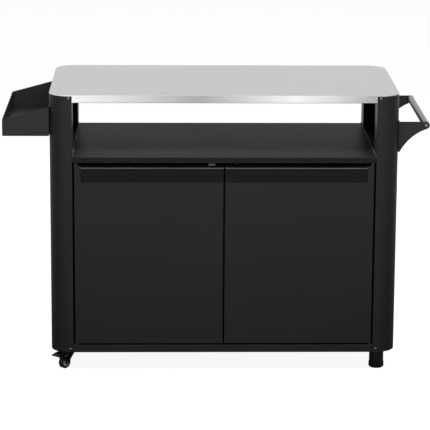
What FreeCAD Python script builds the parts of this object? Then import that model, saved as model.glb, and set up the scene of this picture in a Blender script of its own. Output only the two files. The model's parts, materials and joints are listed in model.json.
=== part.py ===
import FreeCAD, Part
import Sketcher
import math
import os

# Grill cart with storage, in millimetres.
# X runs to the right as seen from the front, Y to the back, Z up from the floor.
# The origin is on the floor, under the middle of the whole cart with its tray, handle and pulls.
# Rules are written about the middle of the cabinet, and place() moves each piece to the origin.

# The driving sizes. Each goes into the sheet under its own alias.
sizes = {
    # cabinet
    "body_width": 1100,
    "body_depth": 550,
    "top_height": 900,
    "foot_height": 66,
    "seat_gap": 0.3,
    # worktop
    "plate_thickness": 3,
    "plate_edge": 1.2,
    "apron_height": 24,
    "apron_sheet": 1.5,
    "apron_return": 14,
    "stiffener_width": 60,
    "stiffener_depth": 16,
    "stiffener_sheet": 1.2,
    "stiffener_spacing": 250,
    # cheeks
    "pillar_width": 73,
    "corner_radius": 62,
    "return_depth": 78,
    "cheek_sheet": 1.5,
    "bend_radius": 2,
    "floor_plate": 3,
    "top_plate": 2,
    "tab_width": 13,
    "tab_height": 24,
    "liner_sheet": 1,
    "liner_margin": 20,
    "liner_drop": 2.5,
    # shelf and base
    "shelf_drop": 197,
    "shelf_lip": 19,
    "shelf_return": 32,
    "shelf_curb": 3,
    "base_lip": 24.5,
    "base_return": 24,
    "tray_sheet": 1.5,
    "back_sheet": 1,
    "back_flange": 14,
    "side_screw_setback": 45,
    "side_screw_zone": 6,
    "back_screw_margin": 90,
    # doors
    "door_side_gap": 5.4,
    "door_centre_gap": 4.4,
    "door_top_gap": 9.5,
    "door_bottom_gap": 5.6,
    "door_depth": 18,
    "door_sheet": 1.2,
    "inner_sheet": 1,
    "inner_flange": 4,
    "grip_inset": 22,
    "grip_slit": 1.2,
    "grip_bend_drop": 51.8,
    "grip_top_drop": 2.5,
    "grip_projection": 12.6,
    "grip_hem": 3.2,
    "grip_hem_height": 8,
    "grip_hem_edge": 0.9,
    "pocket_depth": 14,
    "pocket_leg": 11,
    # door pivots and catches
    "pivot_edge": 5,
    "pivot_setback": 7,
    "pivot_radius": 2.5,
    "pivot_clearance": 0.05,
    "pivot_play": 0.8,
    "pivot_reach": 13,
    "pivot_head_radius": 4.5,
    "pivot_head_height": 2,
    "washer_radius": 6.5,
    "bush_height": 16,
    "bush_width": 13,
    "catch_offset": 39.6,
    "catch_width": 22,
    "catch_depth": 14,
    "catch_height": 7,
    "catch_setback": 4,
    "catch_gap": 0.8,
    "catch_edge": 1,
    "strike_sheet": 1.2,
    "strike_leg": 20,
    # tray
    "tray_reach": 147,
    "tray_margin": 39,
    "tray_low_drop": 137,
    "tray_outer_drop": 84,
    "tray_inner_drop": 44,
    "tray_screw_inset": 66,
    "tray_screw_rise": 20,
    # handle
    "handle_offset": 87,
    "handle_drop": 104,
    "handle_radius": 11,
    "handle_bore": 3,
    "handle_wall": 1.5,
    "handle_plug": 24,
    "handle_end_radius": 11.5,
    "bracket_sheet": 4,
    "bracket_margin": 51,
    "bracket_depth": 86,
    "bracket_arc": 150,
    "bracket_flange": 30,
    "bracket_screw_rise": 22,
    "end_screw_radius": 5,
    "end_screw_head": 2.6,
    "end_screw_reach": 16,
    # button-head screws
    "screw_radius": 2,
    "screw_clearance": 0.2,
    "screw_head_radius": 3.6,
    "screw_head_height": 2,
    "screw_reach": 7,
    "screw_inset": 10,
    "screw_top_drop": 8.5,
    "screw_bottom_rise": 12,
    # casters and feet
    "leg_inset": 54,
    "leg_setback": 60,
    "stem_radius": 5,
    "stem_reach": 14,
    "nut_radius": 8.5,
    "nut_height": 7,
    "race_radius": 19,
    "race_height": 7,
    "race_gap": 0.4,
    "kingpin_radius": 4,
    "kingpin_head_radius": 7,
    "kingpin_head_height": 2,
    "swivel_angle": 226,
    "wheel_radius": 20,
    "wheel_width": 17,
    "wheel_trail": 18,
    "tyre_depth": 6,
    "tyre_edge": 3,
    "hub_side_step": 1,
    "hub_cap_radius": 12.6,
    "hub_cap_bore": 5.2,
    "hub_cap_height": 0.8,
    "axle_radius": 3,
    "axle_clearance": 0.05,
    "axle_head_radius": 4.2,
    "axle_head_height": 1.4,
    "fork_sheet": 2,
    "fork_gap": 1.8,
    "crown_radius": 20,
    "crown_height": 6,
    "fork_back": 14,
    "fork_front": 34,
    "fork_boss": 5.5,
    "pedal_pin_forward": 7,
    "pedal_pin_rise": 23,
    "pedal_pin_radius": 2,
    "pedal_root_radius": 3.2,
    "pedal_gap": 2,
    "pedal_reach": 64,
    "pedal_slope": 10,
    "pedal_rise": 14,
    "pedal_tip_half": 1.2,
    "pedal_width": 26,
    "pedal_root_width": 15,
    "pedal_tip_height": 50,
    "foot_post_radius": 23,
    "foot_cap_radius": 24.4,
    "foot_cap_height": 18,
    "foot_pad_height": 7,
    "foot_groove": 1.3,
    "foot_groove_depth": 2,
    "foot_chamfer": 3.5,
    "foot_stud_radius": 6,
    "foot_stud_reach": 30,
    "foot_gap": 0.6,
}

doc = FreeCAD.newDocument("grill_cart")
sheet = doc.addObject("Spreadsheet::Sheet", "size")
nodes = []


def fill_sheet():
    for row, (alias, value) in enumerate(sizes.items(), start=1):
        sheet.set(f"A{row}", alias)
        sheet.set(f"B{row}", str(value))
        sheet.setAlias(f"B{row}", alias)
    doc.recompute()


# Rules that many pieces share, about the middle of the cabinet.
middle_x = "(size.tray_reach - size.handle_offset - size.handle_end_radius) / 2"
middle_y = "(size.grip_projection - size.screw_head_height) / 2"
half_width = "size.body_width / 2"
half_depth = "size.body_depth / 2"
opening = "(size.body_width / 2 - size.pillar_width)"
front = "(-size.body_depth / 2)"
under_plate = "(size.top_height - size.plate_thickness)"
cheek_room = "(size.cheek_sheet + size.seat_gap)"
shelf_top = "(size.top_height - size.shelf_drop)"
lip_bottom = f"({shelf_top} - size.shelf_lip)"
base_top = "(size.foot_height + size.base_lip)"
door_top = f"({lip_bottom} - size.door_top_gap)"
door_bottom = f"({base_top} + size.door_bottom_gap)"
door_back = f"({front} + size.door_depth)"
bend_height = f"({door_top} - size.grip_bend_drop)"
door_outer = f"({opening} - size.door_side_gap)"
door_inner = "(size.door_centre_gap / 2)"
pivot_x = f"({door_outer} - size.pivot_edge)"
pivot_y = f"({front} + size.pivot_setback)"
leg_x = "(size.body_width / 2 - size.leg_inset)"
leg_y = "(size.body_depth / 2 - size.leg_setback)"
screw_x = f"({opening} + size.screw_inset)"
bracket_y = f"({half_depth} - size.bracket_margin)"
handle_height = "(size.top_height - size.handle_drop)"
bracket_root = f"({handle_height} - size.bracket_depth)"
tray_half = f"({half_depth} - size.tray_margin)"
tray_low = "(size.top_height - size.tray_low_drop)"
tray_outer_top = "(size.top_height - size.tray_outer_drop)"
tray_inner_top = "(size.top_height - size.tray_inner_drop)"
plates_half = "(size.wheel_width / 2 + size.fork_gap)"
pin_x = "(size.wheel_trail + size.pedal_pin_forward)"
pin_z = "(size.wheel_radius + size.pedal_pin_rise)"


def measure(rule):
    return float(sheet.evalExpression(rule))


def signed(side, rule):
    """The rule for the right side, or its mirror for the left side."""
    return rule if side > 0 else f"-({rule})"


def bind(part, **rules):
    for name, rule in rules.items():
        part.setExpression(name, rule)
    return part


def place(part, x="0", y="0", z="0"):
    """Puts a piece where the rules say, measured from the middle of the cabinet on the floor."""
    part.setExpression(".Placement.Base.x", f"{middle_x} + ({x})")
    part.setExpression(".Placement.Base.y", f"{middle_y} + ({y})")
    part.setExpression(".Placement.Base.z", z)
    return part


def keep(part, label):
    """Marks a placed object as one named piece of the cart."""
    part.Label = label
    nodes.append(part)
    return part


def new_body(label, x="0", y="0", z="0"):
    body = doc.addObject("PartDesign::Body", label)
    place(body, x, y, z)
    return keep(body, label)


def new_sketch(body, plane, lift="0"):
    """A sketch on one of the body's own origin planes, lifted along the plane's normal."""
    sketch = body.newObject("Sketcher::SketchObject", f"{body.Name}_sketch")
    plane_object = [f for f in body.Origin.OriginFeatures if f.Role == plane][0]
    sketch.AttachmentSupport = [(plane_object, "")]
    sketch.MapMode = "FlatFace"
    sketch.setExpression(".AttachmentOffset.Base.z", lift)
    return sketch


def pin_point(sketch, curve, end, x, y):
    """Ties one end of a curve to the rules for its two coordinates."""
    for kind, rule, axis in (("DistanceX", x, -2), ("DistanceY", y, -1)):
        value = measure(rule)
        if abs(value) < 1e-9:
            sketch.addConstraint(Sketcher.Constraint("PointOnObject", curve, end, axis))
        else:
            index = sketch.addConstraint(Sketcher.Constraint(kind, -1, 1, curve, end, value))
            sketch.setExpression(f"Constraints[{index}]", rule)


def arc_between(start, end, middle, radius):
    """The short arc round middle, and which of its ends is the start and which the end."""
    angles = [math.atan2(p.y - middle.y, p.x - middle.x) for p in (start, end)]
    circle = Part.Circle(middle, FreeCAD.Vector(0, 0, 1), radius)
    turn = (angles[1] - angles[0]) % (2 * math.pi)
    if turn < math.pi:
        return Part.ArcOfCircle(circle, angles[0], angles[0] + turn), 1, 2
    turn = 2 * math.pi - turn
    return Part.ArcOfCircle(circle, angles[1], angles[1] + turn), 2, 1


def draw(sketch, stops):
    """A closed outline through stops. A stop is (x, y) after a straight run,
    or (x, y, radius, middle) after an arc, with middle as a pair of rules."""
    points = [FreeCAD.Vector(measure(stop[0]), measure(stop[1]), 0) for stop in stops]
    curves = []
    for number, stop in enumerate(stops):
        start, end = points[number - 1], points[number]
        if len(stop) == 2:
            curves.append((sketch.addGeometry(Part.LineSegment(start, end)), 1, 2))
        else:
            middle = FreeCAD.Vector(measure(stop[3][0]), measure(stop[3][1]), 0)
            arc, first, last = arc_between(start, end, middle, measure(stop[2]))
            curves.append((sketch.addGeometry(arc), first, last))
    for number, (curve, first, last) in enumerate(curves):
        before, _, before_last = curves[number - 1]
        sketch.addConstraint(Sketcher.Constraint("Coincident", before, before_last, curve, first))
    for stop, (curve, first, last) in zip(stops, curves):
        pin_point(sketch, curve, last, stop[0], stop[1])
        if len(stop) > 2:
            index = sketch.addConstraint(Sketcher.Constraint("Radius", curve, measure(stop[2])))
            sketch.setExpression(f"Constraints[{index}]", stop[2])


def moved(corner, towards, radius):
    """The rules for the point one radius from a corner, towards its neighbour."""
    x, y = corner[:2]
    dx = measure(towards[0]) - measure(x)
    dy = measure(towards[1]) - measure(y)
    if abs(dx) > abs(dy):
        return f"({x}) {'+' if dx > 0 else '-'} ({radius})", y
    return x, f"({y}) {'+' if dy > 0 else '-'} ({radius})"


def outline(sketch, corners):
    """A closed outline through corners (x, y). A third rule rounds that square corner."""
    stops = []
    for number, corner in enumerate(corners):
        if len(corner) == 2:
            stops.append(corner)
            continue
        radius = corner[2]
        first = moved(corner, corners[number - 1], radius)
        last = moved(corner, corners[(number + 1) % len(corners)], radius)
        middle = (first[0], last[1]) if first[1] == corner[1] else (last[0], first[1])
        stops.append(first)
        stops.append((last[0], last[1], radius, middle))
    draw(sketch, stops)


def box_corners(x_low, x_high, y_low, y_high, *radius):
    return [(x_low, y_low, *radius), (x_high, y_low, *radius),
            (x_high, y_high, *radius), (x_low, y_high, *radius)]


def circle(sketch, x, y, radius):
    middle = FreeCAD.Vector(measure(x), measure(y), 0)
    ring = Part.Circle(middle, FreeCAD.Vector(0, 0, 1), measure(radius))
    curve = sketch.addGeometry(ring)
    pin_point(sketch, curve, 3, x, y)
    index = sketch.addConstraint(Sketcher.Constraint("Radius", curve, measure(radius)))
    sketch.setExpression(f"Constraints[{index}]", radius)


def pad(body, sketch, length, both_ways=False, backwards=False):
    return extrude(body, "Pad", sketch, length, both_ways, backwards)


def cut(body, sketch, length, both_ways=False, backwards=False):
    """Cuts against the sketch's normal, or along it when backwards."""
    return extrude(body, "Pocket", sketch, length, both_ways, backwards)


def extrude(body, kind, sketch, length, both_ways, backwards):
    feature = body.newObject(f"PartDesign::{kind}", f"{body.Name}_{kind.lower()}")
    feature.Profile = sketch
    feature.SideType = "Symmetric" if both_ways else "One side"
    feature.Reversed = backwards
    feature.setExpression("Length", length)
    return feature


def pad_box(body, plane, lift, corners, length, **ways):
    sketch = new_sketch(body, plane, lift)
    outline(sketch, corners)
    return pad(body, sketch, length, **ways)


def drill(body, plane, lift, places, radius, length, **ways):
    """Round holes at the given places of one plane."""
    sketch = new_sketch(body, plane, lift)
    for x, y in places:
        circle(sketch, x, y, radius)
    before = body.Shape.Volume if doc.recompute() and body.Shape.Solids else 0
    feature = cut(body, sketch, length, **ways)
    doc.recompute()
    if before and body.Shape.Volume > before - 1e-3:
        raise ValueError(f"the holes in {body.Label} cut nothing")
    return feature


def round_edges(body, test, radius):
    """Fillets the edges of the body's last feature that pass the test."""
    doc.recompute()
    base = body.Tip
    names = [f"Edge{number}" for number, edge in enumerate(base.Shape.Edges, start=1) if test(edge)]
    feature = body.newObject("PartDesign::Fillet", f"{body.Name}_fillet")
    feature.Base = (base, names)
    feature.setExpression("Radius", radius)
    return feature


def flat_at(height):
    """A test for edges that lie at one height."""
    level = measure(height)
    return lambda edge: all(abs(v.Z - level) < 1e-4 for v in edge.Vertexes)


def turned(body, points):
    """A round piece about the body's Z axis, through points (radius, height) from the bottom up."""
    sketch = new_sketch(body, "XZ_Plane")
    draw(sketch, [("0", points[0][1]), *points, ("0", points[-1][1])])
    feature = body.newObject("PartDesign::Revolution", f"{body.Name}_turned")
    feature.Profile = sketch
    feature.ReferenceAxis = ([f for f in body.Origin.OriginFeatures if f.Role == "Z_Axis"][0], [""])
    feature.Angle = 360
    return feature


def steps(*levels):
    """The points of a stepped round piece, from (low, high, radius) levels."""
    return [(radius, height) for low, high, radius in levels for height in (low, high)]


# Part primitives for the fasteners, and groups of them.

directions = {
    "+X": (1, 0, 0), "-X": (-1, 0, 0),
    "+Y": (0, 1, 0), "-Y": (0, -1, 0),
    "+Z": (0, 0, 1), "-Z": (0, 0, -1),
}


def rod(name, spot, way, start, length, radius):
    """A cylinder whose axis runs one way from a spot, beginning a little way along it."""
    piece = doc.addObject("Part::Cylinder", name)
    vector = FreeCAD.Vector(*directions[way])
    turn = FreeCAD.Rotation(FreeCAD.Vector(0, 0, 1), vector)
    piece.Placement = FreeCAD.Placement(FreeCAD.Vector(), turn)
    rules = [f"({rule}) + ({part:.0f}) * ({start})" for rule, part in zip(spot, directions[way])]
    place(piece, *rules)
    return bind(piece, Height=length, Radius=radius)


def fused(name, pieces):
    joined = doc.addObject("Part::MultiFuse", name)
    joined.Shapes = pieces
    joined.Refine = True
    return joined


def holed(name, base, tool):
    result = doc.addObject("Part::Cut", name)
    result.Base = base
    result.Tool = tool
    return result


def group(label, pieces):
    """Several equal pieces as one node of separate solids."""
    together = doc.addObject("Part::Compound", label)
    together.Links = pieces
    return keep(together, label)


def headed(name, spot, way, head_radius, head_height, radius, reach):
    """A screw or pin: its head stands on the face at spot, and its shank goes the given way."""
    head = rod(f"{name}_head", spot, way, f"-({head_height})", head_height, head_radius)
    shank = rod(f"{name}_shank", spot, way, "0", reach, radius)
    return fused(name, [head, shank])


def small_screw(name, spot, way):
    return headed(name, spot, way, "size.screw_head_radius", "size.screw_head_height",
                  "size.screw_radius", "size.screw_reach")


screw_hole = "(size.screw_radius + size.screw_clearance)"
sides = (("left", -1), ("right", 1))
ends = (("front", -1), ("rear", 1))


def screw_heights():
    return "(size.top_height - size.screw_top_drop)", "(size.foot_height + size.screw_bottom_rise)"


def side_screw_places():
    """Where screws run sideways through the pillars' inner flanges into shelf, base and back."""
    along = "(size.body_depth / 2 - size.side_screw_setback)"
    back = "(size.body_depth / 2 - size.back_flange / 2)"
    lip_middle = f"({lip_bottom} + size.shelf_lip / 2)"
    base_middle = "(size.foot_height + size.base_lip / 2)"
    return {
        "shelf": [(f"-{along}", lip_middle), (along, lip_middle)],
        "base": [(f"-{along}", base_middle), (along, base_middle)],
        "back": [(back, f"({base_top} + size.back_screw_margin)"),
                 (back, f"({lip_bottom} - size.back_screw_margin)")],
    }


def drill_sideways(body, side, places, radius="(size.screw_radius + size.screw_clearance)"):
    """Holes along X through whatever of the body stands near one side of the opening."""
    reach = "size.side_screw_zone"
    lift = signed(side, f"{opening} - {reach}")
    drill(body, "YZ_Plane", lift, places, radius, f"2 * {reach}", backwards=side > 0)


# Worktop

def make_worktop():
    body = new_body("worktop")
    pad_box(body, "XY_Plane", under_plate,
            box_corners(f"-{half_width}", half_width, f"-{half_depth}", half_depth, "size.corner_radius"),
            "size.plate_thickness")
    round_edges(body, flat_at("size.top_height"), "size.plate_edge")
    bottom = "(size.top_height - size.apron_height)"
    for _, end in ends:
        face = signed(end, half_depth)
        inner = signed(end, f"{half_depth} - size.apron_sheet")
        edge = signed(end, f"{half_depth} - size.apron_return")
        pad_box(body, "YZ_Plane", "0",
                [(face, under_plate), (face, bottom, "size.bend_radius"), (edge, bottom),
                 (edge, f"{bottom} + size.apron_sheet"), (inner, f"{bottom} + size.apron_sheet"),
                 (inner, under_plate)],
                f"2 * ({opening} - size.seat_gap)", both_ways=True)


def make_stiffener(name, end):
    """A channel across the underside of the worktop, open downwards."""
    body = new_body(f"{name}_stiffener", y=signed(end, "size.stiffener_spacing / 2"))
    outer = "(size.stiffener_width / 2)"
    inner = "(size.stiffener_width / 2 - size.stiffener_sheet)"
    top = f"({under_plate} - size.seat_gap)"
    low = f"({top} - size.stiffener_depth)"
    pad_box(body, "YZ_Plane", "0",
            [(f"-{outer}", low), (f"-{outer}", top, "size.bend_radius"), (outer, top, "size.bend_radius"),
             (outer, low), (inner, low), (inner, f"{top} - size.stiffener_sheet"),
             (f"-{inner}", f"{top} - size.stiffener_sheet"), (f"-{inner}", low)],
            f"2 * ({opening} - size.bend_radius)", both_ways=True)


# Cheeks and what closes them

def make_cheek(name, side):
    """One sheet wrapped round the side: inner flange, pillar face, rounded corner, side, and back again."""
    body = new_body(f"{name}_cheek")
    x = [signed(side, rule) for rule in (
        opening, f"{opening} + size.cheek_sheet", half_width, f"{half_width} - size.cheek_sheet")]
    back = half_depth
    flange_front = f"{front} + size.return_depth"
    flange_back = f"{back} - size.return_depth"
    inner_front = f"{front} + size.cheek_sheet"
    inner_back = f"{back} - size.cheek_sheet"
    inner_radius = "size.corner_radius - size.cheek_sheet"
    pad_box(body, "XY_Plane", "size.foot_height",
            [(x[0], flange_front), (x[0], front, "size.bend_radius"),
             (x[2], front, "size.corner_radius"), (x[2], back, "size.corner_radius"),
             (x[0], back, "size.bend_radius"), (x[0], flange_back),
             (x[1], flange_back), (x[1], inner_back),
             (x[3], inner_back, inner_radius), (x[3], inner_front, inner_radius),
             (x[1], inner_front), (x[1], flange_front)],
            f"{under_plate} - size.seat_gap - size.foot_height")
    drill(body, "XZ_Plane", "0", [(signed(side, screw_x), z) for z in screw_heights()],
          screw_hole, "size.body_depth", both_ways=True)
    places = side_screw_places()
    drill_sideways(body, side, places["shelf"] + places["base"] + places["back"])
    wall = bracket_screw_places() if side > 0 else tray_screw_places()
    drill(body, "YZ_Plane", signed(side, f"{half_width} + size.cheek_sheet"), wall, screw_hole,
          "3 * size.cheek_sheet", backwards=side < 0)


def make_cheek_plate(name, side, top):
    """A plate inside a cheek, at its foot or its head, with tabs behind the pillar screws."""
    body = new_body(f"{name}_{'top' if top else 'floor'}_plate")
    sheet_rule = "size.top_plate" if top else "size.floor_plate"
    low = f"({under_plate} - size.seat_gap - {sheet_rule})" if top else "size.foot_height"
    near = signed(side, f"{opening} + {cheek_room}")
    far = signed(side, f"{half_width} - {cheek_room}")
    ahead = f"({front} + {cheek_room})"
    behind = f"({half_depth} - {cheek_room})"
    radius = f"size.corner_radius - {cheek_room}"
    pad_box(body, "XY_Plane", low,
            [(near, ahead), (far, ahead, radius), (far, behind, radius), (near, behind)], sheet_rule)
    tab_far = signed(side, f"{opening} + {cheek_room} + size.tab_width")
    for _, end in ends:
        face = signed(end, f"{half_depth} - {cheek_room}")
        inner = signed(end, f"{half_depth} - {cheek_room} - {sheet_rule}")
        pad_box(body, "XY_Plane", low, box_corners(near, tab_far, face, inner),
                "size.tab_height", backwards=top)
    height = screw_heights()[0 if top else 1]
    drill(body, "XZ_Plane", "0", [(signed(side, screw_x), height)], screw_hole,
          "size.body_depth", both_ways=True)
    if not top:
        places = [(signed(side, leg_x), signed(end, leg_y)) for _, end in ends]
        drill(body, "XY_Plane", "size.foot_height + size.floor_plate", places,
              "size.stem_radius + size.screw_clearance", "size.floor_plate")


def make_liner(name, side):
    """The cupboard's side wall, behind the pillars' flanges and over the cheek below the shelf."""
    body = new_body(f"{name}_liner")
    near = signed(side, f"{opening} + {cheek_room}")
    far = signed(side, f"{opening} + {cheek_room} + size.liner_sheet")
    low = "(size.foot_height + size.floor_plate + size.seat_gap)"
    high = f"({shelf_top} - size.liner_drop)"
    reach = "(size.body_depth / 2 - size.liner_margin)"
    pad_box(body, "XY_Plane", low, box_corners(near, far, f"-{reach}", reach), f"{high} - {low}")
    shelf_reach = f"({half_depth} - size.corner_radius)"
    pad_box(body, "XY_Plane", f"{high} - size.liner_sheet",
            box_corners(near, signed(side, f"{half_width} - {cheek_room}"), f"-{shelf_reach}", shelf_reach),
            "size.liner_sheet")
    places = side_screw_places()
    drill_sideways(body, side, places["shelf"] + places["base"])


# Shelf, base and back

def make_flanged_panel(label, high, low, inward, curb):
    """A panel with folded lips at front and back and an end plate at each side."""
    body = new_body(label)
    panel_sheet = "size.tray_sheet"
    ins = [signed(-1, half_depth), f"{front} + {panel_sheet}", f"{front} + {inward}"]
    out = [half_depth, f"{half_depth} - {panel_sheet}", f"{half_depth} - {inward}"]
    under = f"{high} - {panel_sheet}"
    over = f"{low} + {panel_sheet}"
    pad_box(body, "YZ_Plane", "0",
            [(ins[2], low), (ins[0], low, "size.bend_radius"), (ins[0], high, "size.bend_radius"),
             (out[0], high, "size.bend_radius"), (out[0], low, "size.bend_radius"), (out[2], low),
             (out[2], over), (out[1], over), (out[1], under), (ins[1], under), (ins[1], over),
             (ins[2], over)],
            f"2 * ({opening} - size.seat_gap)", both_ways=True)
    for _, side in sides:
        pad_box(body, "YZ_Plane", signed(side, f"{opening} - size.seat_gap - {panel_sheet}"),
                box_corners(f"{front} + size.bend_radius", f"{half_depth} - size.bend_radius",
                            low, f"{high} + {curb}"),
                panel_sheet, backwards=side < 0)
    return body


def drill_pivots(body, lift):
    places = [(signed(side, pivot_x), pivot_y) for _, side in sides]
    drill(body, "XY_Plane", lift, places, "size.pivot_radius + size.pivot_clearance", "size.tray_sheet")


def make_shelf():
    body = make_flanged_panel("shelf", shelf_top, lip_bottom, "size.shelf_return", "size.shelf_curb")
    drill_pivots(body, f"{lip_bottom} + size.tray_sheet")
    for _, side in sides:
        drill_sideways(body, side, side_screw_places()["shelf"])


def make_base():
    body = make_flanged_panel("base", base_top, "size.foot_height", "size.base_return", "0")
    drill_pivots(body, base_top)
    for _, side in sides:
        drill_sideways(body, side, side_screw_places()["base"])


def make_back_panel():
    body = new_body("back_panel")
    wide = f"({opening} - size.seat_gap)"
    narrow = f"({opening} - size.seat_gap - size.back_sheet)"
    inner = f"{half_depth} - size.back_sheet"
    edge = f"{half_depth} - size.back_flange"
    low = f"({base_top} + size.seat_gap)"
    pad_box(body, "XY_Plane", low,
            [(f"-{wide}", edge), (f"-{wide}", half_depth, "size.bend_radius"),
             (wide, half_depth, "size.bend_radius"), (wide, edge),
             (narrow, edge), (narrow, inner), (f"-{narrow}", inner), (f"-{narrow}", edge)],
            f"{lip_bottom} - size.seat_gap - {low}")
    for _, side in sides:
        drill_sideways(body, side, side_screw_places()["back"])


# Doors

def make_door_skin(name, side):
    """The door's face with folded edges; only its outer strip reaches up beside the pull."""
    body = new_body(f"{name}_door_skin")
    skin = "size.door_sheet"
    x_in, x_out = signed(side, door_inner), signed(side, door_outer)
    x_in_wall, x_out_wall = signed(side, f"{door_inner} + {skin}"), signed(side, f"{door_outer} - {skin}")
    x_strip = signed(side, f"{door_outer} - size.grip_inset")
    back = f"({door_back} - size.inner_sheet - size.seat_gap)"
    face = f"({front} + {skin})"
    pad_box(body, "XY_Plane", door_bottom,
            [(x_in, back), (x_in, front, "size.bend_radius"), (x_out, front, "size.bend_radius"),
             (x_out, back), (x_out_wall, back), (x_out_wall, face), (x_in_wall, face), (x_in_wall, back)],
            f"{bend_height} - {door_bottom}")
    pad_box(body, "XY_Plane", door_bottom, box_corners(x_in_wall, x_out_wall, face, back), skin)
    pad_box(body, "XY_Plane", bend_height,
            [(x_strip, face), (x_strip, front), (x_out, front, "size.bend_radius"), (x_out, back),
             (x_out_wall, back), (x_out_wall, face)],
            "size.grip_bend_drop")
    pad_box(body, "XY_Plane", f"{door_top} - {skin}", box_corners(x_strip, x_out_wall, face, back), skin)
    drill(body, "XY_Plane", door_top, [(signed(side, pivot_x), pivot_y)],
          "size.pivot_radius + size.pivot_play", f"{door_top} - {door_bottom}")


def make_pull(name, side):
    """The strip that leans out of the door's top with a folded hem, welded on the face's upper edge."""
    body = new_body(f"{name}_pull")
    skin = "size.door_sheet"
    foot = f"({bend_height} + size.seat_gap)"
    rise = "(size.grip_bend_drop - size.grip_top_drop)"
    hem_share = f"(1 - size.grip_hem_height / {rise})"
    top = f"({door_top} - size.grip_top_drop)"
    lip = f"({front} - size.grip_projection)"
    hem_line = f"({front} - size.grip_projection * {hem_share})"
    sketch = new_sketch(body, "YZ_Plane", signed(side, door_inner))
    draw(sketch, [
        (front, foot),
        (lip, top),
        (f"{lip} + size.grip_hem", top),
        (f"{hem_line} + size.grip_hem", f"{top} - size.grip_hem_height"),
        (f"{hem_line} + {skin}", f"{top} - size.grip_hem_height"),
        (f"{front} + {skin}", foot),
    ])
    pad(body, sketch, f"{door_outer} - size.grip_inset - size.grip_slit - {door_inner}", backwards=side < 0)
    level = measure(top)
    round_edges(body, lambda edge: edge.Length > measure(door_outer) / 2 and flat_at(top)(edge)
                and abs(edge.BoundBox.ZMax - level) < 1e-4, "size.grip_hem_edge")


def make_door_inner(name, side):
    """The door's back panel, with small flanges inside the skin's folded edges."""
    body = new_body(f"{name}_door_inner")
    wall = "(size.door_sheet + size.seat_gap)"
    web = f"({door_back} - size.inner_sheet)"
    pad_box(body, "XY_Plane", door_bottom,
            box_corners(signed(side, door_inner), signed(side, door_outer), web, door_back),
            f"{door_top} - {door_bottom}")
    low_wall = f"({door_inner} + {wall})"
    high_wall = f"({door_outer} - {wall})"
    for start, stop in ((low_wall, f"{low_wall} + size.inner_sheet"),
                        (f"{high_wall} - size.inner_sheet", high_wall)):
        pad_box(body, "XY_Plane", f"{door_bottom} + {wall}",
                box_corners(signed(side, start), signed(side, stop),
                            f"{web} - size.inner_flange", web),
                f"{door_top} - {door_bottom} - 2 * {wall}")


def make_finger_pocket(name, side):
    """Three plates behind the pull: a floor with its leg turned down, a back wall and an outer end."""
    skin = "size.door_sheet"
    ahead = f"({front} + {skin} + size.seat_gap)"
    back_face = f"({door_back} - size.inner_sheet - size.seat_gap - {skin})"
    inside = f"({back_face} - size.seat_gap)"
    low = f"({bend_height} - size.pocket_depth)"
    floor_top = f"({low} + {skin})"
    wall_top = f"({door_top} - size.grip_top_drop)"
    start = f"({door_inner} + {skin} + size.inner_sheet + 2 * size.seat_gap)"
    stop = f"({door_outer} - size.grip_inset - size.grip_slit)"
    leg_end = f"{low} - size.pocket_leg"
    plates = {
        "floor": (start, [(ahead, floor_top), (inside, floor_top), (inside, low), (f"{ahead} + {skin}", low),
                          (f"{ahead} + {skin}", leg_end), (ahead, leg_end)]),
        "back": (start, box_corners(back_face, f"{back_face} + {skin}", low, wall_top)),
        "end": (f"{stop} - {skin}", box_corners(ahead, inside, f"{floor_top} + size.seat_gap", wall_top)),
    }
    for plate, (first, corners) in plates.items():
        body = new_body(f"{name}_pocket_{plate}")
        pad_box(body, "YZ_Plane", signed(side, first), corners, f"{stop} - ({first})", backwards=side < 0)


def make_bushes(name, side):
    """The plastic blocks in the door's outer corners that turn on the pivot pins."""
    inset = "(size.door_sheet + size.seat_gap)"
    lows = {
        "upper": f"{door_top} - {inset} - size.bush_height",
        "lower": f"{door_bottom} + {inset}",
    }
    x_low = f"{door_outer} - {inset} - size.bush_width" if side > 0 else f"-({door_outer} - {inset})"
    blocks = []
    for which, low in lows.items():
        block = doc.addObject("Part::Box", f"{name}_{which}_block")
        place(block, x_low, f"{front} + {inset}", low)
        bind(block, Length="size.bush_width", Width=f"2 * (size.pivot_setback - {inset})",
             Height="size.bush_height")
        bore = rod(f"{name}_{which}_bore", (signed(side, pivot_x), pivot_y, low), "+Z",
                   "-size.seat_gap", "size.bush_height + 2 * size.seat_gap",
                   "size.pivot_radius + size.pivot_clearance")
        blocks.append(holed(f"{name}_{which}_bush", block, bore))
    group(f"{name}_door_bushes", blocks)


def make_hinge_pins():
    """Four fixed pins: two stand up from the base and two hang down from the shelf's lip."""
    inset = "(size.door_sheet + size.seat_gap)"
    pins = []
    for name, side in sides:
        low = (signed(side, pivot_x), pivot_y, f"{base_top} - size.tray_sheet")
        low_reach = f"{door_bottom} + {inset} + size.pivot_reach - ({low[2]})"
        high = (signed(side, pivot_x), pivot_y, f"{lip_bottom} + size.tray_sheet")
        high_reach = f"({high[2]}) - ({door_top} - {inset} - size.pivot_reach)"
        for which, spot, way, reach in (("lower", low, "+Z", low_reach), ("upper", high, "-Z", high_reach)):
            pins.append(headed(f"{name}_{which}_pin", spot, way, "size.pivot_head_radius",
                               "size.pivot_head_height", "size.pivot_radius", reach))
    group("hinge_pins", pins)


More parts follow.
